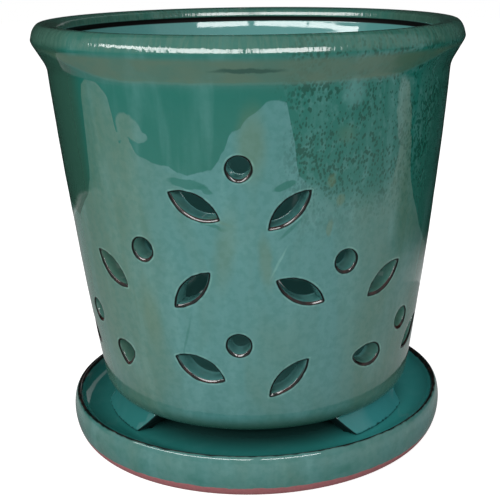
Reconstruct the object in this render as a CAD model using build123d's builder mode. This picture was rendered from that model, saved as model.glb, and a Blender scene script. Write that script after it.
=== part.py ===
from build123d import *
import os
from math import cos, radians, sin

# Orchid pot with a pierced wall and a rolled rim, on three feet in a loose saucer.
# Lengths are in millimetres and angles in degrees. +Z is up and the front faces -Y.
# The origin is on the table, under the middle of the saucer.
# An azimuth is 0 at the front and grows towards the viewer's right.

# Pot wall, from its underside up to the neck under the rim
pot_base_radius = 75.8  # the wall carried on down to the underside
neck_radius = 95.1
wall_height = 159.1
wall_belly = 1.4  # swell beyond a straight cone at half height
wall_thickness = 9.1
floor_thickness = 10.0
corner_run = 6.2  # rounding under the wall, measured across
corner_rise = 11.0  # and upwards
inner_corner_radius = 8.0
drain_radius = 9.5

# Rolled rim
rim_overhang = 6.5  # widest circle, out from the neck
rim_height = 19.0  # neck to crest
rim_crest_inset = 4.7  # crest, in from the widest circle
rim_inside_inset = 6.5  # narrowest circle inside, in from the neck's radius
rim_inside_drop = 4.3  # and down from the crest
rim_crease_drop = 1.2  # crease under the roll, down from the narrowest circle
rim_crease_depth = 0.6  # and back out from it
rim_widest_share = 0.59  # height of the widest circle in the rim's height

# Holes cut square through the wall
round_hole_radius = 5.9
slot_length = 24.0
slot_width = 10.4
cut_overrun = 4.0

# Feet
foot_height = 9.9
foot_setback = 0.4  # top of a foot, in from the edge of the pot's flat underside
foot_flare = 7.2  # tread, out from the top
foot_thickness = 9.5
foot_hollow = 0.7  # how far the flared face is drawn in
foot_floor_angle = 34.0  # spread of a foot round the axis, at its tread
foot_top_angle = 48.0  # and under the pot
foot_edge_radius = 1.2
foot_azimuth_angles = {"foot_left": -66.0, "foot_right": 54.0, "foot_back": 174.0}

# Saucer
saucer_floor_height = 14.0
saucer_height = 20.9
saucer_room = 3.6  # level floor outside the feet
saucer_cove = 7.0  # run of the curve from the floor up to the lip
saucer_rim_width = 6.4  # lip to the widest circle
saucer_crest_inset = 3.2  # crest, in from the widest circle
saucer_lip_drop = 0.7  # sharp inner lip, down from the crest
saucer_side_flare = 6.0  # widest circle, out from the base
saucer_ring_width = 13.0
saucer_recess_depth = 5.0
saucer_widest_share = 0.65  # height of the widest circle in the saucer's height

# A motif is a round hole with a slot leaning out below it on either side. The pot has a
# pyramid of them at the front and another behind, over the back foot: one motif, then two,
# then three.
# Round hole: azimuth, height share of the wall.
# Slot: azimuth, height share of the wall, tilt, length share, width share.
motif_shares = [
    ((-3.7, 0.784), (-16.0, 0.681, -27.8, 1.0, 1.05), (9.5, 0.669, 42.6, 1.0, 0.95)),
    ((-33.3, 0.546), (-47.1, 0.468, -39.4, 0.94, 1.0), (-18.5, 0.443, 45.3, 1.0, 0.95)),
    ((26.8, 0.509), (13.1, 0.437, -28.6, 1.0, 1.05), (42.1, 0.432, 35.0, 0.94, 1.0)),
    ((-62.3, 0.304), (-76.0, 0.215, -28.0, 1.0, 1.0), (-47.7, 0.205, 68.0, 0.58, 1.08)),
    ((-5.3, 0.283), (-18.2, 0.205, -25.1, 1.0, 1.15), (10.0, 0.176, 45.2, 1.0, 0.93)),
    ((55.3, 0.274), (38.5, 0.201, -8.0, 0.78, 1.08), (66.9, 0.198, 30.0, 0.94, 1.0)),
]
pyramid_angles = [0.0, 174.0]

# Where the handles of a curve stand, from its ends towards the corner that it rounds
roundness_share = 0.55

pot_bottom = saucer_floor_height + foot_height
flat_radius = pot_base_radius - corner_run
neck_height = pot_bottom + wall_height
rim_top = neck_height + rim_height
floor_top = pot_bottom + floor_thickness


def wall_radius(height):
    # Outer radius of the wall, with height counted from the pot's underside
    rise = height / wall_height
    cone = pot_base_radius + (neck_radius - pot_base_radius) * rise
    return cone + 4 * wall_belly * rise * (1 - rise)


def wall_slope(height):
    # How much the outer radius grows for each unit of height
    rise = height / wall_height
    return (neck_radius - pot_base_radius + 4 * wall_belly * (1 - 2 * rise)) / wall_height


def outward(azimuth):
    return Vector(sin(radians(azimuth)), -cos(radians(azimuth)), 0)


def radial_plane(azimuth):
    # Upright plane through the axis: X points outwards and Y up
    out = outward(azimuth)
    return Plane(origin=(0, 0, 0), x_dir=out, z_dir=out.cross(Vector(0, 0, 1)))


def wall_plane(azimuth, height, tilt=0.0):
    # Plane on the wall: X runs round it to the viewer's right and Y up it, both turned by tilt
    out = outward(azimuth)
    middle = out * wall_radius(height) + Vector(0, 0, pot_bottom + height)
    square_out = (out - Vector(0, 0, wall_slope(height))).normalized()
    along = Vector(0, 0, 1).cross(out)
    upward = square_out.cross(along)
    tilted = along * cos(radians(tilt)) + upward * sin(radians(tilt))
    return Plane(origin=middle, x_dir=tilted, z_dir=square_out)


def curve_handles(start, corner, end):
    # Control points of a curve that rounds the corner between start and end
    first = [s + (c - s) * roundness_share for s, c in zip(start, corner)]
    second = [e + (c - e) * roundness_share for e, c in zip(end, corner)]
    return [start, tuple(first), tuple(second), end]


# Pot body: thrown wall, floor and rolled rim in one turn of clay
corner_top = (wall_radius(corner_rise), pot_bottom + corner_rise)
wall_middle = (wall_radius(wall_height / 2), pot_bottom + wall_height / 2)
neck = (neck_radius, neck_height)
rim_widest = (neck_radius + rim_overhang, neck_height + rim_height * rim_widest_share)
rim_crest = (rim_widest[0] - rim_crest_inset, rim_top)
rim_inside = (neck_radius - rim_inside_inset, rim_top - rim_inside_drop)
rim_crease = (rim_inside[0] + rim_crease_depth, rim_inside[1] - rim_crease_drop)
inner_neck = (neck_radius - wall_thickness, neck_height)
inner_middle = (wall_middle[0] - wall_thickness, wall_middle[1])
inner_base_height = floor_thickness + inner_corner_radius
inner_base = (wall_radius(inner_base_height) - wall_thickness, floor_top + inner_corner_radius)
inner_corner = (wall_radius(floor_thickness) - wall_thickness, floor_top)
inner_floor = (inner_corner[0] - inner_corner_radius, floor_top)

with BuildPart() as pot_body:
    with BuildSketch(Plane.XZ):
        with BuildLine():
            Line((0, pot_bottom), (flat_radius, pot_bottom))
            Bezier(*curve_handles((flat_radius, pot_bottom), (pot_base_radius, pot_bottom), corner_top))
            ThreePointArc(corner_top, wall_middle, neck)
            Line(neck, rim_widest)
            Bezier(*curve_handles(rim_widest, (rim_widest[0], rim_top), rim_crest))
            Bezier(*curve_handles(rim_crest, (rim_inside[0], rim_top), rim_inside))
            Polyline(rim_inside, rim_crease, inner_neck)
            ThreePointArc(inner_neck, inner_middle, inner_base)
            Bezier(*curve_handles(inner_base, inner_corner, inner_floor))
            Line(inner_floor, (0, floor_top))
            Line((0, floor_top), (0, pot_bottom))
        make_face()
    revolve(axis=Axis.Z)
    with Locations((0, 0, floor_top)):
        Hole(drain_radius)

    cut_depth = wall_thickness + 2 * cut_overrun
    for turn in pyramid_angles:
        for round_hole, *slots in motif_shares:
            azimuth, height_share = round_hole
            on_wall = wall_plane(azimuth + turn, wall_height * height_share)
            with BuildSketch(on_wall.offset(cut_overrun)):
                Circle(round_hole_radius)
            extrude(amount=-cut_depth, mode=Mode.SUBTRACT)
            for azimuth, height_share, tilt, length_share, width_share in slots:
                on_wall = wall_plane(azimuth + turn, wall_height * height_share, tilt)
                tip, belly = slot_length * length_share / 2, slot_width * width_share / 2
                with BuildSketch(on_wall.offset(cut_overrun)):
                    with BuildLine():
                        ThreePointArc((-tip, 0), (0, belly), (tip, 0))
                        ThreePointArc((tip, 0), (0, -belly), (-tip, 0))
                    make_face()
                extrude(amount=-cut_depth, mode=Mode.SUBTRACT)
pot_body.part.label = "pot_body"

# Feet: blocks cut from a flared ring, narrower at the tread than under the pot
foot_top_radius = flat_radius - foot_setback
tread_radius = foot_top_radius + foot_flare
foot_top = (foot_top_radius, pot_bottom)
foot_tread = (tread_radius, saucer_floor_height)
foot_middle = (
    (tread_radius + foot_top_radius) / 2 - foot_hollow,
    (saucer_floor_height + pot_bottom) / 2,
)
inner_tread = (tread_radius - foot_thickness, saucer_floor_height)
inner_top = (foot_top_radius - foot_thickness, pot_bottom)
feet = {}
for foot_name, foot_azimuth in foot_azimuth_angles.items():
    with BuildPart() as foot:
        with BuildSketch(radial_plane(foot_azimuth - foot_top_angle)):
            with BuildLine():
                ThreePointArc(foot_top, foot_middle, foot_tread)
                Polyline(foot_tread, inner_tread, inner_top, foot_top)
            make_face()
        revolve(axis=Axis.Z, revolution_arc=2 * foot_top_angle)
        for side in (-1, 1):
            low = outward(foot_azimuth + side * foot_floor_angle / 2) * tread_radius
            high = outward(foot_azimuth + side * foot_top_angle / 2) * foot_top_radius
            climb = high - low + Vector(0, 0, foot_height)
            across = outward(foot_azimuth + side * (foot_floor_angle + foot_top_angle) / 4)
            cut_face = Plane(
                origin=low + Vector(0, 0, saucer_floor_height),
                x_dir=across,
                z_dir=climb.cross(across) * side,
            )
            split(bisect_by=cut_face, keep=Keep.BOTTOM)
        end_edges = foot.edges().filter_by(lambda edge: edge.bounding_box().size.Z > foot_height / 2)
        fillet(end_edges, foot_edge_radius)
    foot.part.label = foot_name
    feet[foot_name] = foot

# Saucer: rounded rim, level floor and a turned foot ring underneath
saucer_floor_radius = tread_radius + saucer_room
saucer_lip = (saucer_floor_radius + saucer_cove, saucer_height - saucer_lip_drop)
saucer_widest = (saucer_lip[0] + saucer_rim_width, saucer_height * saucer_widest_share)
saucer_crest = (saucer_widest[0] - saucer_crest_inset, saucer_height)
saucer_base_radius = saucer_widest[0] - saucer_side_flare
recess_radius = saucer_base_radius - saucer_ring_width

saucer_floor_edge = (saucer_floor_radius, saucer_floor_height)
cove_corner = (saucer_lip[0], saucer_floor_height)
saucer_base = (saucer_base_radius, 0)

with BuildPart() as saucer:
    with BuildSketch(Plane.XZ):
        with BuildLine():
            Polyline(
                (0, saucer_recess_depth),
                (recess_radius, saucer_recess_depth),
                (recess_radius, 0),
                saucer_base,
            )
            Bezier(*curve_handles(saucer_base, (saucer_widest[0], 0), saucer_widest))
            Bezier(*curve_handles(saucer_widest, (saucer_widest[0], saucer_height), saucer_crest))
            Line(saucer_crest, saucer_lip)
            Bezier(*curve_handles(saucer_lip, cove_corner, saucer_floor_edge))
            Polyline(saucer_floor_edge, (0, saucer_floor_height), (0, saucer_recess_depth))
        make_face()
    revolve(axis=Axis.Z)
saucer.part.label = "saucer"

os.makedirs("parts", exist_ok=True)
export_step(pot_body.part, "parts/pot_body.step")
for foot_name, foot in feet.items():
    export_step(foot.part, f"parts/{foot_name}.step")
export_step(saucer.part, "parts/saucer.step")
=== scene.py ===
import math

import bmesh
import bpy
import numpy as np
from mathutils import Matrix, Vector, noise


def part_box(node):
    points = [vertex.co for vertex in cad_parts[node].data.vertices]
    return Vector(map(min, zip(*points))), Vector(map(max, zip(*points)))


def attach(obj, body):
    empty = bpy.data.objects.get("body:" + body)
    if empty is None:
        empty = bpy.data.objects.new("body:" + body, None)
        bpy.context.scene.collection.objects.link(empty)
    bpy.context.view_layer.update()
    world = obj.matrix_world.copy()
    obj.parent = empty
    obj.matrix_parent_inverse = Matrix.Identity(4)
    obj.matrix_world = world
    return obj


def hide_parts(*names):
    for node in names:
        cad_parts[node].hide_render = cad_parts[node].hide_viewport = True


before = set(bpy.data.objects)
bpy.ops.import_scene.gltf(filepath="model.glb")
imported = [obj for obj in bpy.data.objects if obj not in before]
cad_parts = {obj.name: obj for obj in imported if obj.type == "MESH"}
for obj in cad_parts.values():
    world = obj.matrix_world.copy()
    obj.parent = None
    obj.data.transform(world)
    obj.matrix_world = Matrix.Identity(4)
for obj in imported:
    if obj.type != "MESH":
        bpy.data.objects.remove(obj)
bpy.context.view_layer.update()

# Thrown stoneware orchid pot with a pierced wall, in its saucer, under one reactive glaze.
# The dictionaries hold millimetres and degrees. Blender's metres are made where a point is placed.
# An azimuth is 0 at the front of the pot (-Y) and grows towards the viewer's right.

mm = 0.001


def boxSize(node):
    low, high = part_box(node)
    return low / mm, high / mm


potLow, potHigh = boxSize("pot_body")
footLow, footHigh = boxSize("foot_back")
saucerHigh = boxSize("saucer")[1]


def between(start, end, share):
    return tuple(s + (e - s) * share for s, e in zip(start, end))


# How far a rounded corner's poles reach towards the corner, for nearly a circle's arc
cornerPull = 0.55


def roundedCorner(start, corner, end, steps):
    # points of a curve that leaves start towards corner and reaches end from there
    poles = (start, between(start, corner, cornerPull), between(end, corner, cornerPull), end)
    points = []
    for i in range(steps + 1):
        t = i / steps
        shares = ((1 - t) ** 3, 3 * t * (1 - t) ** 2, 3 * t * t * (1 - t), t ** 3)
        points.append(tuple(sum(share * pole[k] for share, pole in zip(shares, poles)) for k in (0, 1)))
    return points


def aroundPot(azimuth, radius, level):
    angle = math.radians(azimuth)
    return Vector((radius * math.sin(angle), -radius * math.cos(angle), level)) * mm


def straight(start, end, spacing):
    steps = max(1, round(math.dist(start, end) / spacing))
    return [between(start, end, i / steps) for i in range(steps + 1)]


def joined(*stretches):
    # one outline from stretches that start where the last one ended
    points = []
    for stretch in stretches:
        points += [p for p in stretch if not points or math.dist(p, points[-1]) > 0.02]
    return points


# The camera of the photograph
camera = {
    "distance": 503.8,
    "height": 234.3,
    "pitch": 16.21,
    "turn": 2.59,
    "roll": -0.52,
    "lens": 75.13,
    "sensor": 36,
    "shift": -0.1,
}


def placeCamera():
    data = bpy.data.cameras.new("camera")
    data.lens, data.sensor_width = camera["lens"], camera["sensor"]
    data.shift_x = camera["shift"]
    data.clip_start, data.clip_end = 0.01, 20
    pitch, turn, roll = (math.radians(camera[k]) for k in ("pitch", "turn", "roll"))
    ahead = Vector((math.sin(turn) * math.cos(pitch), math.cos(turn) * math.cos(pitch), -math.sin(pitch)))
    right = Vector((math.cos(turn), -math.sin(turn), 0))
    up = right.cross(ahead)
    right, up = right * math.cos(roll) + up * math.sin(roll), up * math.cos(roll) - right * math.sin(roll)
    placed = Matrix((right, up, -ahead)).transposed().to_4x4()
    placed.translation = Vector((0, -camera["distance"], camera["height"])) * mm
    holder = bpy.data.objects.new("camera", data)
    holder.matrix_world = placed
    bpy.context.scene.collection.objects.link(holder)
    bpy.context.scene.camera = holder


placeCamera()
print("camera placed")

# Pot body: the wall leans out and swells a little, and the rim is rolled over to both sides
pot = {
    "underside": potLow.z,
    "top": potHigh.z,
    "rimRadius": potHigh.x,
    "rimOverhang": 6.5,
    "rimHeight": 19.0,
    "rimWidest": 0.59,  # its height, as a share of rimHeight
    "crestInset": 4.7,
    "faceHeight": 2.8,  # nearly upright face above the widest circle
    "faceLean": 13.0,
    "insideInset": 12.9,  # narrowest circle inside the roll, in from the widest
    "insideDrop": 4.4,
    "insideFace": 2.6,
    "insideLean": 11.3,
    "creaseDrop": 1.3,
    "creaseDepth": 1.1,
    "creaseFoot": (0.7, 0.9),  # in and down from the crease
    "creaseFace": 3.2,  # leaning face under it
    "baseRadius": 75.8,
    "coneRise": 0.121,  # how far it leans out for each millimetre up
    "belly": 1.4,
    "wall": 9.1,
    "floor": 10.0,
    "cornerRun": 5.6,
    "cornerRise": 8.5,
    "insideCorner": 8.0,
    "drainRadius": 9.5,
    "rowSpacing": 2.0,
    "segments": 288,
    "wobble": 0.35,  # how far the thrown wall strays, always inwards
}
pot["neckRadius"] = pot["rimRadius"] - pot["rimOverhang"]
pot["neckHeight"] = pot["top"] - pot["rimHeight"]
pot["wallHeight"] = pot["neckHeight"] - pot["underside"]


def wallRadius(height):
    # outer radius at a height above the underside
    rise = height / pot["wallHeight"]
    cone = pot["baseRadius"] + (pot["neckRadius"] - pot["baseRadius"]) * rise
    return cone + 4 * pot["belly"] * rise * (1 - rise)


def wallLean(height):
    rise = height / pot["wallHeight"]
    grow = pot["neckRadius"] - pot["baseRadius"] + 4 * pot["belly"] * (1 - 2 * rise)
    return np.arctan2(grow, pot["wallHeight"])


def evenly(start, end, spacing):
    # heights from start to end, about spacing apart
    rows = round(abs(end - start) / spacing)
    return [start + (end - start) * i / rows for i in range(rows + 1)]


def potOutline():
    low, neckHeight, wallHeight = pot["underside"], pot["neckHeight"], pot["wallHeight"]
    floorTop = low + pot["floor"]
    flat = pot["baseRadius"] - pot["cornerRun"]
    neck = (pot["neckRadius"], neckHeight)
    widest = (pot["rimRadius"], neckHeight + pot["rimHeight"] * pot["rimWidest"])
    lean, rise = math.tan(math.radians(pot["faceLean"])), pot["faceHeight"]
    faceTop = (widest[0] - lean * rise, widest[1] + rise)
    faceCorner = (faceTop[0] - lean * (pot["top"] - faceTop[1]), pot["top"])
    crest = (widest[0] - pot["crestInset"], pot["top"])
    inside = (widest[0] - pot["insideInset"], pot["top"] - pot["insideDrop"])
    insideLean = math.tan(math.radians(pot["insideLean"]))
    insideTop = (inside[0] + insideLean * pot["insideFace"], inside[1] + pot["insideFace"])
    insideCorner = (inside[0] + insideLean * pot["insideDrop"], pot["top"])
    crease = (inside[0] + pot["creaseDepth"], inside[1] - pot["creaseDrop"])
    underCrease = (crease[0] - pot["creaseFoot"][0], crease[1] - pot["creaseFoot"][1])
    faceEnd = (underCrease[0] - pot["creaseFace"] * insideLean, underCrease[1] - pot["creaseFace"])
    outerHeights = evenly(pot["cornerRise"], wallHeight, pot["rowSpacing"])
    outerWall = [(wallRadius(h), low + h) for h in outerHeights]
    innerHeights = evenly(wallHeight, pot["floor"] + pot["insideCorner"], pot["rowSpacing"] * 1.25)
    innerWall = [(wallRadius(h) - pot["wall"], low + h) for h in innerHeights]
    innerCorner = (wallRadius(pot["floor"]) - pot["wall"], floorTop)
    innerFloor = (innerCorner[0] - pot["insideCorner"], floorTop)
    neckCurve = roundedCorner(outerWall[-2], neck, between(neck, widest, 0.2), 5)
    rollStart, rollEnd = between(neck, widest, 0.85), between(widest, faceTop, 0.3)
    return joined(
        straight((pot["drainRadius"] + 1, low), (flat, low), 6),
        roundedCorner((flat, low), (pot["baseRadius"], low), outerWall[0], 9),
        outerWall[:-1],
        neckCurve,
        straight(neckCurve[-1], rollStart, 1.6),
        roundedCorner(rollStart, widest, rollEnd, 5),
        straight(rollEnd, faceTop, 0.7),
        roundedCorner(faceTop, faceCorner, crest, 9),
        roundedCorner(crest, insideCorner, insideTop, 10),
        straight(insideTop, inside, 0.7),
        [crease],
        straight(underCrease, faceEnd, 0.8),
        straight(faceEnd, innerWall[0], 2.0),
        innerWall,
        roundedCorner(innerWall[-1], innerCorner, innerFloor, 7),
        straight(innerFloor, (pot["drainRadius"] + 1, floorTop), 6),
        [(pot["drainRadius"], floorTop - 1), (pot["drainRadius"], low + 1)],
    )


def spinRound(bm, geom, angle, steps, merge=False):
    bmesh.ops.spin(
        bm, geom=geom, axis=(0, 0, 1), cent=(0, 0, 0), angle=math.radians(angle), steps=steps, use_merge=merge
    )


def cleaned(bm):
    bmesh.ops.remove_doubles(bm, verts=bm.verts, dist=0.01 * mm)
    bmesh.ops.recalc_face_normals(bm, faces=bm.faces)


def spun(outline, segments, closed):
    # a turned form: the outline stands in the XZ plane and is spun once round Z
    bm = bmesh.new()
    points = [bm.verts.new((r * mm, 0, z * mm)) for r, z in outline]
    pairs = list(zip(points, points[1:])) + ([(points[-1], points[0])] if closed else [])
    edges = [bm.edges.new(pair) for pair in pairs]
    spinRound(bm, points + edges, 360, segments, merge=True)
    cleaned(bm)
    return bm


def newPiece(name, bm):
    mesh = bpy.data.meshes.new(name)
    bm.to_mesh(mesh)
    bm.free()
    piece = bpy.data.objects.new(name, mesh)
    bpy.context.scene.collection.objects.link(piece)
    mesh.shade_smooth()
    return piece


# Holes: round ones from a punch, and slots from a knife. Glaze has softened their edges.
holes = {
    "punchRadius": 5.75,
    "slotLength": 25.0,
    "slotWidth": 10.4,
    "tipBlunt": 1.4,  # how far glaze has filled the tips of a slot
    "softness": 1.1,  # width of the glazed shoulder, inwards from the outline
    "shoulder": 33.7,  # how steeply it goes in at the foot of the wall
    "shoulderEase": 11.9,  # and how much less at the neck
    "upperEdge": 0.3,  # its width along an upper edge, as a share of that along a level one
    "lowerLip": 1.15,  # and along a lower edge
    # rows of a plug, whose widths are shares of softness
    "standOut": 2.0,  # how far its ends stand out of the wall
    "outerShare": 1.1,
    "shoulderRows": (1.0, 0.1, -0.35, -0.8),
    "throatRows": ((0.17, 1.0), (0.5, 1.12)),  # how far under the shoulder, and how narrow
    "boreRows": (0.3, 0.5, 0.7),  # shares of the wall's depth
    "boreShare": 1.15,
    "marked": 9.0,  # faces this near an outline carry its shape
    "farAway": 99.0,  # the place of all other faces
    "segments": 56,
    "turns": (0, 174),
    # round hole: azimuth, height share of the wall
    # slot: azimuth, height share, tilt, length share, width share
    # clogged slot: also its own tip bluntness, and how much wider one end is for each millimetre
    "motifs": [
        ((-3.7, 0.784), (-16.0, 0.681, -27.8, 1.0, 1.05), (9.5, 0.669, 42.6, 1.0, 0.95)),
        ((-33.3, 0.546), (-47.1, 0.468, -39.4, 0.94, 1.0), (-18.5, 0.443, 45.3, 1.0, 0.95)),
        ((26.8, 0.509), (13.1, 0.437, -28.6, 1.0, 1.05), (42.1, 0.432, 35.0, 0.94, 1.0)),
        ((-62.3, 0.304), (-76.0, 0.215, -28.0, 1.0, 1.0), (-47.7, 0.205, 84.0, 0.745, 1.15, 15.0, 0.06)),
        ((-5.3, 0.283), (-18.2, 0.205, -25.1, 1.0, 1.15), (10.0, 0.176, 45.2, 1.0, 0.93)),
        ((55.3, 0.274), (38.5, 0.201, -8.0, 0.8, 1.1, 6.0, 0.02), (66.9, 0.198, 30.0, 0.94, 1.0)),
    ],
}


def holeList():
    # each hole: azimuth, height, tilt, and the shape of its outline
    found = []
    for turn in holes["turns"]:
        for (azimuth, share), *slots in holes["motifs"]:
            punched = (holes["punchRadius"], 0.0, 0.0, 0.0)
            found.append((azimuth + turn, share * pot["wallHeight"], 0.0, punched))
            for azimuth, share, tilt, longer, wider, *clogged in slots:
                long, wide = holes["slotLength"] * longer / 2, holes["slotWidth"] * wider / 2
                radius = (long ** 2 + wide ** 2) / (2 * wide)
                blunt, widening = clogged or (holes["tipBlunt"], 0.0)
                shape = (radius, radius - wide, widening, blunt)
                found.append((azimuth + turn, share * pot["wallHeight"], tilt, shape))
    return found


def outlineGap(x, y, shape):
    # how far outside a hole's outline a point lies: a slot is where two equal circles overlap
    radius, stand, widening, blunt = shape
    y = y / (1 + widening * x)
    first, second = np.hypot(x, y + stand) - radius, np.hypot(x, y - stand) - radius
    if not blunt:
        return np.maximum(first, second)
    merge = np.maximum(blunt - np.abs(first - second), 0) / blunt
    return np.maximum(first, second) + merge ** 3 * blunt / 6


def holeOutline(shape):
    # points of an outline and the directions square to it, found along rays from the middle
    turn = np.arange(holes["segments"]) * math.tau / holes["segments"]
    stretch = 1.0 if shape[1] <= 0 else 2.2
    rayX, rayY = np.cos(turn) * stretch, np.sin(turn)
    near, far = np.zeros(len(turn)), np.full(len(turn), 20.0)
    for _ in range(30):
        middle = (near + far) / 2
        outside = outlineGap(rayX * middle, rayY * middle, shape) > 0
        near, far = np.where(outside, near, middle), np.where(outside, middle, far)
    x, y, step = rayX * near, rayY * near, 0.01
    slopeX = outlineGap(x + step, y, shape) - outlineGap(x - step, y, shape)
    slopeY = outlineGap(x, y + step, shape) - outlineGap(x, y - step, shape)
    size = np.hypot(slopeX, slopeY)
    return list(zip(x, y, slopeX / size, slopeY / size))


def onWall(azimuth, height, depth):
    # a point that far under the wall's outer face, square to it
    lean = wallLean(height)
    level = pot["underside"] + height + depth * np.sin(lean)
    return aroundPot(azimuth, wallRadius(height) - depth * np.cos(lean), level)


def cutHole(bm, hole):
    # a plug that flares where it meets the wall's two faces, so that it leaves soft edges
    azimuth, height, tilt, shape = hole
    soft, upper, lower = holes["softness"], holes["upperEdge"], holes["lowerLip"]
    deep = pot["wall"] * math.cos(wallLean(height))
    steepness = holes["shoulder"] - holes["shoulderEase"] * height / pot["wallHeight"]
    drop = math.tan(math.radians(steepness))
    shoulder = [(-share * soft * drop, share * soft) for share in holes["shoulderRows"]]
    last = shoulder[-1][0]
    throat = [(last + down, -soft * narrow) for down, narrow in holes["throatRows"]]
    flare = [(-holes["standOut"], soft * holes["outerShare"])] + shoulder + throat
    bore = [(deep * share, -soft * holes["boreShare"]) for share in holes["boreRows"]]
    steps = flare + bore + [(deep - d, spread) for d, spread in reversed(flare)]
    outline = holeOutline(shape)
    cosTilt, sinTilt = math.cos(math.radians(tilt)), math.sin(math.radians(tilt))
    ring = bmesh.ops.create_circle(bm, cap_ends=True, radius=mm, segments=len(outline))["verts"]
    for number, (depth, spread) in enumerate(steps):
        if number:
            around = zip(ring, ring[1:] + ring[:1])
            edges = [next(e for e in v.link_edges if e.other_vert(v) is after) for v, after in around]
            grown = bmesh.ops.extrude_edge_only(bm, edges=edges)["geom"]
            fresh = {g for g in grown if isinstance(g, bmesh.types.BMVert)}
            ring = [next(e.other_vert(v) for e in v.link_edges if e.other_vert(v) in fresh) for v in ring]
        for vert, (x, y, dx, dy) in zip(ring, outline):
            downward = 0.5 - 0.5 * (dx * sinTilt + dy * cosTilt)
            lip = upper + (lower - upper) * downward if depth < deep / 2 else 1.0
            x, y = x + dx * spread * lip, y + dy * spread * lip
            across, up = x * cosTilt - y * sinTilt, x * sinTilt + y * cosTilt
            level = height + up * math.cos(wallLean(height))
            sunk = depth * lip if depth < 2 * soft else depth
            vert.co = onWall(azimuth + math.degrees(across / wallRadius(height)), level, sunk)
    bmesh.ops.contextual_create(bm, geom=ring)


def pierced(piece):
    bm = bmesh.new()
    for hole in holeList():
        cutHole(bm, hole)
    bmesh.ops.recalc_face_normals(bm, faces=bm.faces)
    plugs = newPiece("plugs", bm)
    cut = piece.modifiers.new("holes", "BOOLEAN")
    cut.operation, cut.solver, cut.object = "DIFFERENCE", "MANIFOLD", plugs
    ready = piece.evaluated_get(bpy.context.evaluated_depsgraph_get())
    mesh = bpy.data.meshes.new_from_object(ready)
    piece.modifiers.clear()
    piece.data = mesh
    bpy.data.objects.remove(plugs)


def wallPlace(points):
    # azimuth in degrees, height and depth under the outer face, for points in millimetres
    radius = np.hypot(points[:, 0], points[:, 1])
    azimuth = np.degrees(np.arctan2(points[:, 0], -points[:, 1]))
    height = points[:, 2] - pot["underside"]
    lean = wallLean(height)
    depth = (wallRadius(height) - radius) * np.cos(lean)
    return azimuth, height - depth * np.sin(lean), depth


def readAll(items, key, kind=int, width=1):
    values = np.zeros(len(items) * width, kind)
    items.foreach_get(key, values)
    return values


def markHoles(mesh):
    # on every face near a hole: where it lies from that hole's middle, and the hole's outline
    points = readAll(mesh.vertices, "co", float, 3).reshape(-1, 3) / mm
    corner = readAll(mesh.loops, "vertex_index")
    starts = readAll(mesh.polygons, "loop_start")
    sizes = readAll(mesh.polygons, "loop_total")
    faceOf = np.repeat(np.arange(len(sizes)), sizes)
    azimuth, height, depth = wallPlace(points)
    place = np.full((len(corner), 3), holes["farAway"])
    lens = np.zeros((len(corner), 4))
    nearest = np.full(len(sizes), holes["marked"])
    limit = holes["slotLength"]
    for holeAzimuth, holeHeight, tilt, shape in holeList():
        turn = (azimuth - holeAzimuth + 180) % 360 - 180
        across = np.radians(turn) * wallRadius(holeHeight)
        up = (height - holeHeight) / math.cos(wallLean(holeHeight))
        cosTilt, sinTilt = math.cos(math.radians(tilt)), math.sin(math.radians(tilt))
        x, y = across * cosTilt + up * sinTilt, up * cosTilt - across * sinTilt
        x, y = np.clip(x, -limit, limit), np.clip(y, -limit, limit)
        gap = outlineGap(x, y, shape)
        faceGap = np.add.reduceat(gap[corner], starts) / sizes
        closer = faceGap < nearest
        nearest[closer] = faceGap[closer]
        chosen = closer[faceOf]
        spot = corner[chosen]
        place[chosen] = np.stack([x[spot], y[spot], depth[spot]], axis=1)
        lens[chosen] = shape
    layers = (("holePlace", "FLOAT_VECTOR", "vector", place), ("holeShape", "FLOAT_COLOR", "color", lens))
    for name, kind, key, values in layers:
        layer = mesh.attributes.new(name, kind, "CORNER")
        layer.data.foreach_set(key, values.astype(np.float32).ravel())


# How clay strays on the wheel: broad swells, and the rings that fingers leave
thrown = {
    "swell": (70, 70, 45),
    "swellShare": 1.2,
    "rings": (200, 200, 7),
    "ringShare": 0.35,
    "still": 20,  # nothing strays this near the axis
}


def handThrown(mesh, stray):
    # the turned form strays a little inwards, never beyond its size
    for vert in mesh.vertices:
        spot = vert.co / mm
        swell = noise.noise(Vector(c / size for c, size in zip(spot, thrown["swell"])))
        rings = noise.noise(Vector(c / size for c, size in zip(spot, thrown["rings"])))
        swing = swell * thrown["swellShare"] + rings * thrown["ringShare"]
        inward = stray * (0.5 + 0.5 * max(-1, min(1, swing)))
        flat = Vector((vert.co.x, vert.co.y, 0))
        if flat.length > thrown["still"] * mm:
            vert.co -= flat.normalized() * inward * mm


def makePot():
    piece = newPiece("potBody", spun(potOutline(), pot["segments"], closed=True))
    pierced(piece)
    markHoles(piece.data)
    handThrown(piece.data, pot["wobble"])
    piece.data.shade_smooth()
    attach(piece, "pot")
    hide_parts("pot_body")
    return piece


potBody = makePot()
print("pot body thrown and pierced:", len(potBody.data.polygons), "faces")

# Feet: short blocks that flare outwards, with slanting ends, luted under the pot
feet = {
    "azimuths": {"foot_left": -66.0, "foot_right": 54.0, "foot_back": 174.0},
    "floorSpan": 34.0,
    "topSpan": 48.0,
    "topRadius": pot["baseRadius"] - 6.6,
    "flare": 7.2,
    "endTurn": 9.0,  # its ends lie along this azimuth, on each side of its middle
    "hollow": 0.7,
    "thickness": 9.5,
    "softness": 1.6,
    "low": footLow.z,
    "high": footHigh.z,
}


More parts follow.
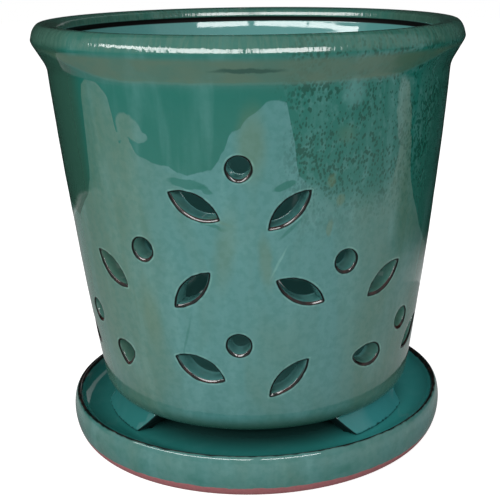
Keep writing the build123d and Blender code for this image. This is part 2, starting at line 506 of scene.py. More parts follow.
def makeFoot(name, azimuth):
    low, high = feet["low"], feet["high"]
    top, tread = feet["topRadius"], feet["topRadius"] + feet["flare"]
    middle = ((top + tread) / 2 - feet["hollow"], (low + high) / 2)
    thick = feet["thickness"]
    rings = [(tread, low), middle, (top, high), (top - thick, high), (tread - thick, low)]
    # a block wider than the foot, whose ends are then cut along two planes
    bm = bmesh.new()
    start = azimuth - feet["topSpan"] * 0.75
    face = bm.faces.new([bm.verts.new(aroundPot(start, radius, level)) for radius, level in rings])
    spinRound(bm, [face], feet["topSpan"] * 1.5, 24)
    for side in (-1, 1):
        lowEnd = aroundPot(azimuth + side * feet["floorSpan"] / 2, tread, low)
        highEnd = aroundPot(azimuth + side * feet["topSpan"] / 2, top, high)
        across = aroundPot(azimuth + side * feet["endTurn"], 1 / mm, 0)
        away = (highEnd - lowEnd).cross(across) * side
        geom = bm.verts[:] + bm.edges[:] + bm.faces[:]
        cut = bmesh.ops.bisect_plane(bm, geom=geom, plane_co=lowEnd, plane_no=away, clear_outer=True)
        rim = [g for g in cut["geom_cut"] if isinstance(g, bmesh.types.BMEdge)]
        bmesh.ops.contextual_create(bm, geom=rim)
    cleaned(bm)
    sharp = [e for e in bm.edges if len(e.link_faces) == 2 and e.calc_face_angle() > math.radians(40)]
    bmesh.ops.bevel(
        bm, geom=sharp, offset=feet["softness"] * mm, affect="EDGES", segments=4, profile=0.5, material=-1
    )
    piece = newPiece(name, bm)
    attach(piece, "pot")
    return piece


footNames = {"foot_left": "footLeft", "foot_right": "footRight", "foot_back": "footBack"}
footPieces = []
for node, azimuth in feet["azimuths"].items():
    footPiece = makeFoot(footNames[node], azimuth)
    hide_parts(node)
    footPieces.append(footPiece)
print("feet cut")

# Saucer: rounded rim with a sharp inner lip, level floor, bare foot ring
saucer = {
    "height": saucerHigh.z,
    "radius": saucerHigh.x,
    "widest": 0.65,  # its height, as a share of the saucer's
    "crestInset": 2.2,
    "rimWidth": 3.2,
    "lipDrop": 0.35,
    "lipFace": (1.4, 2.4),  # steep face under the lip, in and down from it
    "cove": 10.0,
    "coveCorner": 3.0,
    "floor": feet["low"],
    "flare": 6.0,
    "ringWidth": 13.0,
    "recess": 5.0,
    "segments": 288,
    "wobble": 0.3,
}


def saucerOutline():
    radius, height, floor, hollow = (saucer[k] for k in ("radius", "height", "floor", "recess"))
    widest = (radius, height * saucer["widest"])
    crest = (radius - saucer["crestInset"], height)
    lip = (radius - saucer["rimWidth"], height - saucer["lipDrop"])
    lipStart = between(crest, lip, 0.8)
    coveTop = (lip[0] - saucer["lipFace"][0], lip[1] - saucer["lipFace"][1])
    lipEnd = between(lip, coveTop, 0.3)
    floorEdge = (lip[0] - saucer["cove"], floor)
    base = radius - saucer["flare"]
    recess = base - saucer["ringWidth"]
    return joined(
        straight((0, hollow), (recess - 1, hollow), 8),
        roundedCorner((recess - 1, hollow), (recess, hollow), (recess, hollow - 1), 4),
        roundedCorner((recess, 1), (recess, 0), (recess + 1, 0), 4),
        straight((recess + 1, 0), (base - 1, 0), 4),
        roundedCorner((base - 1, 0), (radius, 0), widest, 14),
        roundedCorner(widest, (radius, height), crest, 10),
        straight(crest, lipStart, 0.9),
        roundedCorner(lipStart, lip, lipEnd, 3),
        straight(lipEnd, coveTop, 1.0),
        roundedCorner(coveTop, (lip[0] - saucer["coveCorner"], floor), floorEdge, 10),
        straight(floorEdge, (0, floor), 3),
    )


def makeSaucer():
    piece = newPiece("saucerDish", spun(saucerOutline(), saucer["segments"], closed=False))
    handThrown(piece.data, saucer["wobble"])
    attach(piece, "saucer")
    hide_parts("saucer")
    return piece


saucerDish = makeSaucer()
print("saucer thrown:", len(saucerDish.data.polygons), "faces")


# Materials
def linearColour(hexCode):
    # sRGB hex to the linear values that a shader reads
    parts = [int(hexCode[i:i + 2], 16) / 255 for i in (1, 3, 5)]
    return tuple(c / 12.92 if c <= 0.04045 else ((c + 0.055) / 1.055) ** 2.4 for c in parts) + (1.0,)


def addNode(tree, kind, settings=None, inputs=None):
    node = tree.nodes.new(kind)
    for name, value in (settings or {}).items():
        setattr(node, name, value)
    for name, value in (inputs or {}).items():
        if isinstance(value, bpy.types.NodeSocket):
            tree.links.new(value, node.inputs[name])
        else:
            node.inputs[name].default_value = value
    return node


def newMaterial(name):
    material = bpy.data.materials.new(name)
    material.use_nodes = True
    material.node_tree.nodes.clear()
    return material, material.node_tree


def maths(tree, operation, *values, clamp=False):
    settings = {"operation": operation, "use_clamp": clamp}
    return addNode(tree, "ShaderNodeMath", settings, dict(enumerate(values))).outputs[0]


def minus(tree, first, second):
    return maths(tree, "SUBTRACT", first, second)


def product(tree, *values):
    result = values[0]
    for value in values[1:]:
        result = maths(tree, "MULTIPLY", result, value)
    return result


def vectorMaths(tree, operation, *vectors):
    return addNode(tree, "ShaderNodeVectorMath", {"operation": operation}, dict(enumerate(vectors))).outputs


def split(tree, vector):
    return addNode(tree, "ShaderNodeSeparateXYZ", {}, {0: vector}).outputs


def combined(tree, *parts):
    return addNode(tree, "ShaderNodeCombineXYZ", {}, dict(enumerate(parts))).outputs[0]


def reach(tree, *parts):
    # how far those parts of a vector reach from its start
    return vectorMaths(tree, "LENGTH", combined(tree, *parts))["Value"]


def ramped(tree, value, low, high, start=0.0, end=1.0):
    # smooth step from start to end as value goes from low to high
    return addNode(tree, "ShaderNodeMapRange", {"interpolation_type": "SMOOTHSTEP"}, {
        "Value": value, "From Min": low, "From Max": high, "To Min": start, "To Max": end,
    }).outputs[0]


def mixed(tree, share, first, second):
    return addNode(tree, "ShaderNodeMix", {"data_type": "RGBA"}, {0: share, 6: first, 7: second}).outputs[2]


def blended(tree, share, first, second):
    # one of the glaze's colours running into another
    return mixed(tree, share, linearColour(glaze[first]), linearColour(glaze[second]))


def painted(tree, share, colour, name):
    # one of the glaze's colours laid over what is there
    return mixed(tree, share, colour, linearColour(glaze[name]))


def grains(tree, place, size, detail=2.0, distortion=0.0):
    # noise whose lumps are about size millimetres across
    return addNode(tree, "ShaderNodeTexNoise", {}, {
        "Vector": place, "Scale": 1 / size, "Detail": detail, "Distortion": distortion,
    }).outputs[0]


def swinging(tree, grain, width):
    # noise that swings evenly about 0
    return maths(tree, "MULTIPLY_ADD", grain, width, -width / 2)


glaze = {
    "deep": "#1A5F55",  # where the glaze ran thick
    "paintedShade": "#294C3F",  # painted shade: the dark flanks and the foot of the wall
    "milkyBlueAndReflection": "#467876",  # where it clouded as it cooled; this and the next are partly a painted reflection of the pale floor
    "milkyOliveAndReflection": "#496C5F",
    "pale": "#6B9A98",
    "inside": "#5A9592",
    "olive": "#56684A",
    "speck": "#084034",
    "burntEdgeAndShade": "#070505",  # iron body burning through on edges, and painted shade in the rim's crease
    "rust": "#2E1210",
    "halo": "#86B5AA",
    "underRollReflection": "#41604F",  # painted dark reflection band under the roll
    "foot": "#2E7675",
    # painted reflection: lighter on the right
    "footRightReflection": "#3C9296",
    "dish": "#2F827E",
    "dishRightReflection": "#40A4A3",  # painted reflection: lighter on the right
    "underPotShadow": "#1B3633",
    "clay": "#80464A",  # bare, on the foot ring
    "clayPale": "#9E6264",
    "mottle": 3.2,
    "speckWidth": 1.2,
    "speckHeight": 1.9,
    "roughness": 0.06,
    "ripple": 11.0,
    "rippleHeight": 0.10,
    "pit": 2.2,
    "pitHeight": 0.005,
    "degree": 1.62,  # millimetres round the wall for one degree
}

# Heights of the edge of the clouded glaze, partly a painted reflection of the pale floor: the lowest, and the
# span above it
cloudAndReflectionLow, cloudAndReflectionSpan = 60.0, 140.0
# Edge of the clouded glaze, partly a painted reflection of the pale floor, round one face of the pot:
# azimuth, height above the table
cloudAndReflectionEdge = [
    (-90, 122), (-72, 122), (-63.1, 118), (-53.7, 131), (-50.8, 140), (-50.3, 151), (-49.7, 159),
    (-49.6, 172), (-48.6, 180), (-46.5, 182.5), (-42, 181.5), (-39.2, 177.5), (-38.7, 176), (-39.0, 153),
    (-36.5, 156.4), (-35.6, 158), (-33, 158), (-31.5, 153.5), (-28.7, 151.2), (-25.1, 149.3),
    (-21.9, 149), (-19.8, 146.8), (-16.9, 145.7), (-14.3, 147.2), (-10.5, 148), (-8.7, 152),
    (-7.8, 154.7), (-6.6, 157), (-6.1, 161), (-5.2, 164), (-2.9, 165), (-2, 168), (-0.1, 170.5),
    (2, 173.4), (3.8, 175.8), (6.5, 176.3), (8.8, 175.6), (9.3, 167), (10.4, 161), (11, 152),
    (11.6, 145), (15.7, 140), (20.3, 137), (30.3, 132), (38.7, 133.5), (41.7, 140), (42.7, 152),
    (44.5, 160), (46.5, 160), (48.2, 154), (48.6, 142), (50.4, 134), (53.1, 125.7), (59, 112.4),
    (65.6, 102), (74, 94), (80, 92), (84, 105), (87, 120), (90, 122),
]
# Spots of clouded glaze and painted floor reflection beyond that edge: azimuth, height, tilt, half length,
# half width
cloudAndReflectionSpots = [
    (-34.0, 165.0, 0, 4.7, 5.2), (-31.6, 163.4, -38, 5.2, 4.0), (-29.9, 160.6, -6, 4.2, 2.2),
    (-36.9, 159.9, 0, 3.6, 2.1), (-34.4, 156, 0, 2.8, 5), (43.6, 166.5, 99, 15.5, 4.9),
]
# Marks in the glaze: azimuth, height, tilt, half length, half width, softness, colour, strength
marks = [
    (-17.3, 142.0, -9, 8.6, 1.8, 0.16, "deep", 0.8),
    (-12.6, 139.6, -28, 3.4, 1.2, 0.2, "deep", 0.7),
    (8.2, 141.0, 21, 5.2, 1.5, 0.16, "deep", 0.85),
    (-12.0, 125.0, -22, 7.0, 0.9, 0.4, "deep", 0.7),
    (9.8, 122.2, 42, 6.0, 0.8, 0.4, "deep", 0.6),
    (-0.3, 158.0, 88, 14.0, 5.5, 0.6, "olive", 0.42),
    (-8.0, 113.0, 80, 16.0, 4.0, 0.8, "olive", 0.3),
    (26.0, 178.0, 0, 5.0, 5.0, 0.7, "pale", 0.3),
    (24.4, 161.0, 0, 4.0, 3.4, 0.7, "olive", 0.2),
    (20.8, 141.7, 80, 2.8, 2.1, 0.4, "olive", 0.42),
    (23.7, 133.0, 80, 2.5, 1.9, 0.4, "olive", 0.42),
    (20.9, 121.0, 86, 3.4, 1.5, 0.4, "olive", 0.4),
    (-21.6, 71.5, 72, 9.5, 0.6, 0.6, "deep", 0.45),
    (3.0, 108.0, 96, 11.0, 2.8, 0.6, "olive", 0.35),
    (6.6, 107.5, 62, 6.5, 0.5, 0.6, "halo", 0.2),
    (-33.0, 79.0, 92, 15.0, 5.0, 0.7, "olive", 0.35),
    (-13.0, 128.5, -20, 10.0, 1.0, 0.6, "olive", 0.3),
    (-0.7, 188.4, 0, 12.8, 1.0, 0.35, "speck", 0.95),
]


def millimetres(tree, upright=1.0):
    # object coordinates in millimetres, squeezed upright where a pattern is drawn out
    place = addNode(tree, "ShaderNodeTexCoord").outputs["Object"]
    return vectorMaths(tree, "MULTIPLY", place, (1 / mm, 1 / mm, upright / mm))[0]


def chart(tree):
    # places on the pot: azimuth on the nearer face and how far aside of its middle that is, height,
    # radius, depth under a plain cone, and azimuth and height as a flat map in millimetres
    place = millimetres(tree)
    x, y, level = split(tree, place)
    azimuth = product(tree, maths(tree, "ARCTAN2", x, product(tree, y, -1.0)), math.degrees(1))
    rear = maths(tree, "WRAP", minus(tree, azimuth, holes["turns"][1]), 180.0, -180.0)
    isRear = maths(tree, "GREATER_THAN", maths(tree, "ABSOLUTE", azimuth), 90.0)
    azimuth = maths(tree, "MULTIPLY_ADD", isRear, minus(tree, rear, azimuth), azimuth)
    across = product(tree, azimuth, glaze["degree"])
    sway = swinging(tree, grains(tree, place, 5.0), 2.4)
    radius = reach(tree, x, y)
    coneFoot = pot["baseRadius"] - pot["coneRise"] * pot["underside"]
    cone = maths(tree, "MULTIPLY_ADD", level, pot["coneRise"], coneFoot)
    flat = combined(tree, maths(tree, "ADD", across, sway), maths(tree, "ADD", level, sway))
    return {
        "place": place, "azimuth": azimuth, "aside": maths(tree, "ABSOLUTE", azimuth), "across": across,
        "level": level, "radius": radius, "under": minus(tree, cone, radius), "rear": isRear,
        "sway": sway, "map": flat,
    }


def markMask(tree, spots, azimuth, level, tilt, long, wide, soft):
    # 1 inside an oval of that half length and half width on the flat map, and 0 outside
    inputs = {
        "Vector": spots["map"], "Location": (azimuth * glaze["degree"], level, 0),
        "Rotation": (0, 0, math.radians(tilt)), "Scale": (long, wide, 1),
    }
    place = addNode(tree, "ShaderNodeMapping", {"vector_type": "TEXTURE"}, inputs).outputs[0]
    away = vectorMaths(tree, "LENGTH", place)["Value"]
    return ramped(tree, away, 1 - soft, 1 + soft, 1.0, 0.0)


def cloudAndReflectionMask(tree, spots):
    # where the glaze clouded, partly a painted reflection of the pale floor: below a wandering edge, which is
    # crisp on the left and soft on the right
    azimuth = spots["azimuth"]
    share = maths(tree, "MULTIPLY_ADD", azimuth, 1 / 180, 0.5)
    curve = addNode(tree, "ShaderNodeFloatCurve", {}, {"Value": share})
    line = curve.mapping.curves[0]
    while len(line.points) < len(cloudAndReflectionEdge):
        line.points.new(0.5, 0.5)
    for point, (turn, level) in zip(line.points, cloudAndReflectionEdge):
        point.location = (turn / 180 + 0.5, (level - cloudAndReflectionLow) / cloudAndReflectionSpan)
        point.handle_type = "VECTOR"
    curve.mapping.update()
    edge = maths(tree, "MULTIPLY_ADD", curve.outputs[0], cloudAndReflectionSpan, cloudAndReflectionLow)
    wander = product(tree, swinging(tree, grains(tree, spots["place"], 34.0), 60.0), spots["rear"])
    edge = maths(tree, "ADD", maths(tree, "ADD", edge, wander), product(tree, spots["sway"], 0.8))
    soft = product(tree, ramped(tree, azimuth, 12.0, 20.0), ramped(tree, azimuth, 38.0, 46.0, 1.0, 0.0))
    width = maths(tree, "MULTIPLY_ADD", soft, 16.0, 0.7)
    below = maths(tree, "DIVIDE", minus(tree, edge, spots["level"]), width)
    mask = ramped(tree, below, -0.5, 0.5)
    for spot in cloudAndReflectionSpots:
        mask = maths(tree, "MAXIMUM", mask, markMask(tree, spots, *spot, 0.12))
    return mask


def reactiveGlaze(tree, cloudAndReflection, oliveShare):
    # colour and height of the glaze away from any edge
    place = millimetres(tree)
    streaks = grains(tree, millimetres(tree, 0.12), 9.0, 3.0, 0.3)
    cloudy = grains(tree, millimetres(tree, 0.35), 22.0, 3.0, 0.6)
    tint = maths(tree, "ADD", oliveShare, swinging(tree, cloudy, 1.6), clamp=True)
    colour = mixed(tree, cloudAndReflection, linearColour(glaze["deep"]), blended(tree, tint, "milkyBlueAndReflection", "milkyOliveAndReflection"))
    colour = painted(tree, ramped(tree, streaks, 0.45, 0.75, 0.0, 0.18), colour, "pale")
    mottle = grains(tree, place, glaze["mottle"], 3.0)
    colour = painted(tree, ramped(tree, mottle, 0.4, 0.65, 0.0, 0.22), colour, "deep")
    ripple = product(tree, grains(tree, place, glaze["ripple"]), glaze["rippleHeight"])
    pits = product(tree, grains(tree, place, glaze["pit"]), glaze["pitHeight"])
    return colour, maths(tree, "ADD", ripple, pits)


def speckled(tree, colour, spots, cloudAndReflection):
    # iron specks drawn out as the glaze ran, thickest on the right of the upper wall
    place, level = spots["place"], spots["level"]
    lean = maths(tree, "MULTIPLY_ADD", level, -0.12, spots["across"])
    cell = combined(
        tree, maths(tree, "DIVIDE", lean, glaze["speckWidth"]),
        maths(tree, "DIVIDE", level, glaze["speckHeight"]), spots["rear"],
    )
    cells = addNode(tree, "ShaderNodeTexVoronoi", {}, {"Vector": cell, "Scale": 1.0}).outputs["Distance"]
    size = maths(tree, "ADD", grains(tree, place, 2.8), grains(tree, place, 16.0, 1.0))
    size = maths(tree, "MULTIPLY_ADD", size, 0.85, -0.46)
    dots = ramped(tree, minus(tree, cells, size), -0.12, 0.1, 1.0, 0.0)
    right = ramped(tree, spots["azimuth"], 4.0, 13.0, 0.04, 1.0)
    many = product(tree, right, ramped(tree, level, 108.0, 150.0, 0.12, 1.0))
    flecks = ramped(tree, grains(tree, millimetres(tree, 0.6), 2.4), 0.5, 0.72)
    colour = painted(tree, product(tree, flecks, many, 0.14), colour, "pale")
    dots = product(tree, dots, many, ramped(tree, cloudAndReflection, 0.3, 1.0, 1.0, 0.5), 0.8)
    return painted(tree, dots, colour, "speck")


def ringGap(tree, radius, level):
    # distance in millimetres from a circle round the pot's axis
    x, y, z = split(tree, millimetres(tree))
    out = minus(tree, reach(tree, x, y), radius)
    return reach(tree, out, minus(tree, z, level))


def surfaced(tree, shader):
    addNode(tree, "ShaderNodeOutputMaterial", {}, {"Surface": shader.outputs[0]})


def finished(tree, colour, roughness, height, gloss=0.5):
    bump = addNode(tree, "ShaderNodeBump", {}, {"Strength": 1.0, "Distance": mm, "Height": height})
    surfaced(tree, addNode(tree, "ShaderNodeBsdfPrincipled", {}, {
        "Base Color": colour, "Roughness": roughness, "IOR": 1.52, "Specular IOR Level": gloss,
        "Normal": bump.outputs[0],
    }))


def dulled(tree, colour, height, dull, dullest, rougher):
    # glaze that loses its gloss as dull grows, down to the least of it at dullest
    roughness = maths(tree, "MULTIPLY_ADD", dull, rougher, glaze["roughness"])
    finished(tree, colour, roughness, height, ramped(tree, dull, 0.2, dullest, 0.5, 0.1))


def facing(tree):
    return addNode(tree, "ShaderNodeTexCoord").outputs["Normal"]


def holeGap(tree):
    # the same distance as outlineGap, from the nearest hole, and the depth in the wall
    place = addNode(tree, "ShaderNodeAttribute", {"attribute_name": "holePlace"}).outputs["Vector"]
    lens = addNode(tree, "ShaderNodeAttribute", {"attribute_name": "holeShape"}).outputs
    x, y, depth = split(tree, place)
    radius, stand, widening = split(tree, lens["Vector"])
    y = maths(tree, "DIVIDE", y, maths(tree, "MULTIPLY_ADD", widening, x, 1.0))
    gaps = []
    for operation in ("ADD", "SUBTRACT"):
        away = reach(tree, x, maths(tree, operation, y, stand))
        gaps.append(minus(tree, away, radius))
    return maths(tree, "SMOOTH_MAX", *gaps, lens["Alpha"]), depth


def footGlaze():
    # The same glaze on the feet, deep on their outer faces, lighter on the right as a painted reflection, and
    # near black and duller on the ends
    material, tree = newMaterial("reactiveGlazedFoot")
    place = millimetres(tree)
    x, y, level = split(tree, place)
    colour, height = reactiveGlaze(tree, 0.25, 0.0)
    # painted reflection: the feet lighter towards the right
    colour = mixed(tree, 0.7, colour, blended(tree, ramped(tree, x, 20.0, 60.0), "foot", "footRightReflection"))
    ragged = maths(tree, "MULTIPLY_ADD", grains(tree, place, 2.5, 3.0), -2.4, level)
    wet = ramped(tree, ragged, feet["low"] - 0.9, feet["low"] + 0.1, 0.85, 0.0)
    colour = painted(tree, wet, colour, "burntEdgeAndShade")
    along = vectorMaths(tree, "CROSS_PRODUCT", (0.0, 0.0, 1.0), place)[0]
    along = vectorMaths(tree, "NORMALIZE", along)[0]
    ends = maths(tree, "ABSOLUTE", vectorMaths(tree, "DOT_PRODUCT", facing(tree), along)["Value"])
    ends = ramped(tree, ends, 0.25, 0.5, 0.0, 0.95)
    dulled(tree, painted(tree, ends, colour, "burntEdgeAndShade"), height, ends, 0.9, 0.4)
    return material


def rimGlaze(tree, colour, spots):
    # a painted dark reflection band under the roll with a paler painted edge, combed on its crest and painted
    # paler there as a reflection, lighter on the inside of the wall
    level, radius, low, neck = spots["level"], spots["radius"], pot["neckHeight"], pot["neckRadius"]
    rising = ramped(tree, spots["aside"], 34.0, 64.0, 0.0, 9.0)
    above = minus(tree, minus(tree, level, rising), product(tree, spots["sway"], 0.5))
    # painted reflection: a pale line along the lower edge of the band under the roll
    fringe = product(
        tree, ramped(tree, above, low - 1.0, low + 0.2), ramped(tree, above, low + 0.2, low + 1.0, 1.0, 0.0),
        ramped(tree, radius, neck - 4.0, neck - 2.0, 0.0, 0.45),
    )
    colour = painted(tree, fringe, colour, "milkyOliveAndReflection")
    # painted dark reflection band under the roll, in blotches
    blotch = grains(tree, millimetres(tree, 2.0), 14.0, 3.0)
    band = product(
        tree, ramped(tree, above, low + 0.1, low + 0.9), ramped(tree, level, low + 8.5, low + 11.0, 1.0, 0.0),
        ramped(tree, radius, neck - 2.0, neck - 1.0), ramped(tree, blotch, 0.35, 0.65, 0.6, 0.95),
    )
    colour = painted(tree, band, colour, "underRollReflection")
    comb = combined(tree, spots["across"], product(tree, minus(tree, level, radius), 0.12))
    onRoll = ramped(tree, level, low + 11.0, low + 14.0)
    combed = product(tree, onRoll, ramped(tree, grains(tree, comb, 1.7, 3.0, 0.6), 0.4, 0.66, 0.0, 0.55))
    # painted reflection: the whole roll paler; the comb marks are the glaze's own
    colour = painted(tree, product(tree, onRoll, 0.4), colour, "milkyOliveAndReflection")
    colour = painted(tree, combed, colour, "milkyOliveAndReflection")
    within = product(
        tree, ramped(tree, spots["under"], 5.0, 7.0),
        ramped(tree, level, low + 14.5, low + 13.0, 0.0, 1.0), 0.85,
    )
    return painted(tree, within, colour, "inside"), product(tree, combed, 0.09)


def potGlaze():
    # Reactive-glazed stoneware: runs, clouds and specks under a wet gloss, burnt dark on cut edges. The
    # clouds are partly a painted reflection of the pale floor, and there is painted shade on the flanks, at
    # the wall's foot and in the rim's crease.
    material, tree = newMaterial("reactiveGlazedStoneware")
    spots = chart(tree)
    azimuth, aside, level = spots["azimuth"], spots["aside"], spots["level"]
    cloudAndReflection = cloudAndReflectionMask(tree, spots)
    olive = maths(
        tree, "ADD", ramped(tree, azimuth, -52.0, -8.0, 1.0, 0.0),
        ramped(tree, azimuth, 14.0, 42.0, 0.0, 0.75),
    )
    colour, height = reactiveGlaze(tree, cloudAndReflection, olive)
    # painted shade on the flanks, beside the clouded glaze
    flankShade = product(
        tree, ramped(tree, aside, 46.0, 55.0), ramped(tree, cloudAndReflection, 0.0, 1.0, 1.0, 0.0),
        ramped(tree, azimuth, -10.0, 10.0, 0.9, 0.35),
    )
    colour = painted(tree, flankShade, colour, "paintedShade")
    colour = speckled(tree, colour, spots, cloudAndReflection)
    colour, combs = rimGlaze(tree, colour, spots)
    outer = ramped(tree, spots["under"], 3.0, 5.0, 1.0, 0.0)
    for *mark, paint, strength in marks:
        colour = painted(tree, product(tree, markMask(tree, spots, *mark), outer, strength), colour, paint)
    low = pot["underside"]
    # painted shade at the foot of the wall, above the saucer, less at the sides
    wallFootShade = product(
        tree, ramped(tree, level, low + 1.5, low + 9.5, 0.95, 0.0), outer,
        ramped(tree, aside, 20.0, 48.0, 1.0, 0.35),
    )
    colour = painted(tree, wallFootShade, colour, "paintedShade")
    gap, depth = holeGap(tree)
    stray = grains(tree, spots["place"], 4.0)
    edge = maths(tree, "ADD", gap, swinging(tree, stray, 0.7))
    halo = product(
        tree, ramped(tree, edge, 0.2, 0.5), ramped(tree, edge, 0.5, 1.2, 1.0, 0.0),
        ramped(tree, stray, 0.4, 0.65, 0.05, 0.3),
    )
    colour = painted(tree, halo, colour, "halo")
    lip = ramped(tree, split(tree, facing(tree))[2], 0.05, 0.35)
    below = minus(tree, depth, maths(tree, "MULTIPLY_ADD", lip, 0.3, 0.6))
    onEdge = product(tree, ramped(tree, edge, 0.0, 0.25, 1.0, 0.0), ramped(tree, below, -0.35, 0.1, 1.0, 0.0))
    burnt = blended(tree, product(tree, lip, ramped(tree, stray, 0.42, 0.6)), "burntEdgeAndShade", "rust")
    colour = mixed(tree, product(tree, onEdge, 0.98), colour, burnt)
    # painted shade: near black in the crease under the rim's roll
    creaseRadius = pot["rimRadius"] - pot["insideInset"] + pot["creaseDepth"]
    crease = ringGap(tree, creaseRadius, pot["top"] - pot["insideDrop"] - pot["creaseDrop"])
    creaseShade = ramped(tree, crease, 1.4, 2.0, 1.0, 0.0)
    colour = painted(tree, creaseShade, colour, "burntEdgeAndShade")
    dull = maths(tree, "MAXIMUM", product(tree, onEdge, minus(tree, 1.0, lip)), creaseShade)
    dulled(tree, colour, maths(tree, "ADD", height, combs), dull, 1.0, 0.5)
    return material


def saucerGlaze():
    # The same glaze on the dish, burnt through on its sharp lip, and wiped off the foot ring, with painted
    # shadow under the pot and painted reflection on the right
    material, tree = newMaterial("glazedSaucerStoneware")
    place = millimetres(tree)
    x, y, level = split(tree, place)
    out = reach(tree, x, y)
    lipRadius = saucer["radius"] - saucer["rimWidth"]
    runs = ramped(tree, grains(tree, place, 30.0, 3.0, 0.8), 0.3, 0.5, 0.5, 1.0)
    cloudAndReflection = product(tree, ramped(tree, out, lipRadius - 3, lipRadius), runs)
    colour, height = reactiveGlaze(tree, cloudAndReflection, 0.35)
    # painted reflection: the dish lighter towards the right
    dish = blended(tree, ramped(tree, x, 20.0, 60.0), "dish", "dishRightReflection")
    colour = mixed(tree, ramped(tree, out, lipRadius - 1, lipRadius, 0.7, 0.0), colour, dish)
    # painted shadow under the pot, on the dish's floor
    colour = painted(tree, ramped(tree, out, 56.0, 78.0, 0.92, 0.0), colour, "underPotShadow")
    stray = grains(tree, place, 5.0)
    lip = ringGap(tree, lipRadius, saucer["height"] - saucer["lipDrop"])
    edge = maths(tree, "ADD", lip, swinging(tree, stray, 1.2))
    burnt = blended(tree, ramped(tree, stray, 0.45, 0.6), "burntEdgeAndShade", "rust")
    colour = mixed(tree, ramped(tree, edge, 1.1, 1.7, 0.95, 0.0), colour, burnt)
    line = maths(tree, "ADD", level, swinging(tree, stray, 1.6))
    bare = ramped(tree, line, 5.3, 5.8, 1.0, 0.0)
    colour = mixed(tree, bare, colour, blended(tree, grains(tree, place, 1.5, 4.0), "clay", "clayPale"))
    roughness = ramped(tree, line, 5.3, 5.8, 0.8, glaze["roughness"])
    grit = product(tree, grains(tree, place, 0.8, 3.0), bare, 0.12)
    finished(tree, colour, roughness, maths(tree, "ADD", height, grit))
    return material


def coat(pieces, material):
    for piece in pieces:
        piece.data.materials.clear()
        piece.data.materials.append(material)


coat([potBody], potGlaze())
coat(footPieces, footGlaze())
coat([saucerDish], saucerGlaze())
print("glazed")

# Studio: pale floor, white surroundings, bands of soft light in front, dark cards for the gloss to show
studio = {
    "floorSize": 6000,
    "floorGlow": 0.75,
    "floorNear": 0.75,  # what the glaze shows of the floor, near the pot and far from it
    "floorFar": 0.3,
    "floorBehind": 0.4,  # share of it left behind the pot
    "floorShaded": 0.35,  # and beside the saucer, in its shade
    "dome": 0.5,  # what the glaze shows of the room above
    "bandDistance": 1600,
    "bandLevel": 195,
    "bandHeight": 200,
    "bandRise": 20.0,
    "bands": ((-80.0, -42.0), (-41.0, -4.0), (1.0, 37.0)),
    "bandGlow": 14.0,
    "surround": 0.42,
    "cards": ((74.0, 180.0, 235.0), (180.0, 268.0, 430.0)),  # azimuths and distance, behind the pot
    "cardHeight": 1500,
    "cardGlow": 0.01,
    "roomRadius": 2880,
}


def seenDirectly(tree):
    # 1 for what the camera, a reflection or a clear body sees, and 0 for what lights the object
    path = addNode(tree, "ShaderNodeLightPath")
    either = maths(tree, "MAXIMUM", path.outputs["Is Camera Ray"], path.outputs["Is Glossy Ray"])
    return maths(tree, "MAXIMUM", either, path.outputs["Is Transmission Ray"])


def glowing(tree, strength):
    return addNode(tree, "ShaderNodeEmission", {}, {"Strength": strength})


def makeFloor():
    bm = bmesh.new()
    bmesh.ops.create_grid(bm, x_segments=1, y_segments=1, size=studio["floorSize"] * mm / 2)
    sheet = newPiece("floorSheet", bm)
    # Paper sweep: white but for the pot's shadow, and fading away in the glaze
    material, tree = newMaterial("paperSweep")
    paper = addNode(tree, "ShaderNodeBsdfDiffuse", {}, {"Color": (0.8, 0.8, 0.8, 1.0)})
    glow = glowing(tree, product(tree, seenDirectly(tree), studio["floorGlow"]))
    both = addNode(tree, "ShaderNodeAddShader", {}, {0: paper.outputs[0], 1: glow.outputs[0]})
    x, y, z = split(tree, millimetres(tree))
    away = reach(tree, x, y)
    inGloss = glowing(tree, product(
        tree, ramped(tree, away, 200.0, 800.0, studio["floorNear"], studio["floorFar"]),
        ramped(tree, away, 94.0, 135.0, studio["floorShaded"], 1.0),
        ramped(tree, y, -200.0, 150.0, 1.0, studio["floorBehind"]),
    ))
    gloss = addNode(tree, "ShaderNodeLightPath").outputs["Is Glossy Ray"]
    shown = {0: gloss, 1: both.outputs[0], 2: inGloss.outputs[0]}
    surfaced(tree, addNode(tree, "ShaderNodeMixShader", {}, shown))
    material.cycles.emission_sampling = "NONE"
    sheet.data.materials.append(material)


def makeSurround():
    world = bpy.data.worlds.new("surround")
    world.use_nodes = True
    tree = world.node_tree
    tree.nodes.clear()
    shares = {0: seenDirectly(tree), 2: studio["surround"], 3: 1.0}
    strength = addNode(tree, "ShaderNodeMix", {}, shares).outputs[0]
    glow = addNode(tree, "ShaderNodeBackground", {}, {"Color": (1.0, 1.0, 1.0, 1.0), "Strength": strength})
    addNode(tree, "ShaderNodeOutputWorld", {}, {"Surface": glow.outputs[0]})
    bpy.context.scene.world = world


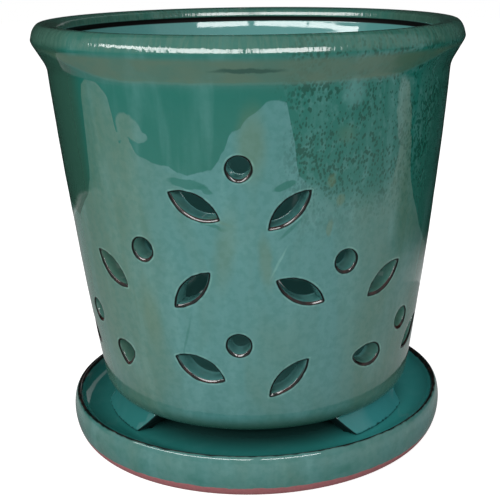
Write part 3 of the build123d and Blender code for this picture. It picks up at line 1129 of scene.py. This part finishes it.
def makeBands():
    for number, (start, end) in enumerate(studio["bands"]):
        distance, rise = studio["bandDistance"], math.radians(studio["bandRise"])
        width = 2 * distance * math.tan(math.radians(end - start) / 2)
        lamp = bpy.data.lights.new(f"band{number}", "AREA")
        lamp.shape = "RECTANGLE"
        lamp.size, lamp.size_y = width * mm, studio["bandHeight"] * mm
        lamp.energy = studio["bandGlow"] * math.pi * lamp.size * lamp.size_y
        holder = bpy.data.objects.new(f"band{number}", lamp)
        place = aroundPot((start + end) / 2, distance, studio["bandLevel"] + distance * math.tan(rise))
        aim = Vector((0, 0, studio["bandLevel"] * mm)) - place
        holder.matrix_world = Matrix.Translation(place) @ aim.to_track_quat("-Z", "Y").to_matrix().to_4x4()
        holder.visible_camera = False
        bpy.context.scene.collection.objects.link(holder)


def fadingCard(tree):
    # dark behind the pot, and as bright as the room at its foot and its near end
    x, y, z = split(tree, millimetres(tree))
    nearEnd = ramped(tree, y, -60.0, -10.0, studio["dome"], studio["cardGlow"])
    rise = product(tree, z, ramped(tree, x, -50.0, 50.0, 5.0, 1.0))
    return maths(tree, "MAXIMUM", nearEnd, ramped(tree, rise, 0.0, 45.0, studio["dome"], studio["cardGlow"]))


def onlyInGloss(card, dark):
    # a card that shows in the glaze, and neither to the camera nor as a shadow
    material, tree = newMaterial("matteBlackCard" if dark else "dimRoom")
    surfaced(tree, glowing(tree, fadingCard(tree) if dark else studio["dome"]))
    material.cycles.emission_sampling = "NONE"
    card.data.materials.append(material)
    card.visible_camera = card.visible_diffuse = card.visible_shadow = card.visible_transmission = False


def makeCards():
    for start, end, distance in studio["cards"]:
        bm = bmesh.new()
        foot = bm.verts.new(aroundPot(start, distance, 1))
        top = bm.verts.new(aroundPot(start, distance, studio["cardHeight"]))
        edge = bm.edges.new((foot, top))
        spinRound(bm, [foot, top, edge], end - start, 30)
        onlyInGloss(newPiece("cardBehind", bm), True)
    bm = bmesh.new()
    bmesh.ops.create_uvsphere(bm, u_segments=48, v_segments=24, radius=studio["roomRadius"] * mm)
    onlyInGloss(newPiece("roomAbove", bm), False)


makeFloor()
makeSurround()
makeBands()
makeCards()
bpy.context.scene.view_settings.view_transform = "Standard"
print("studio lit")
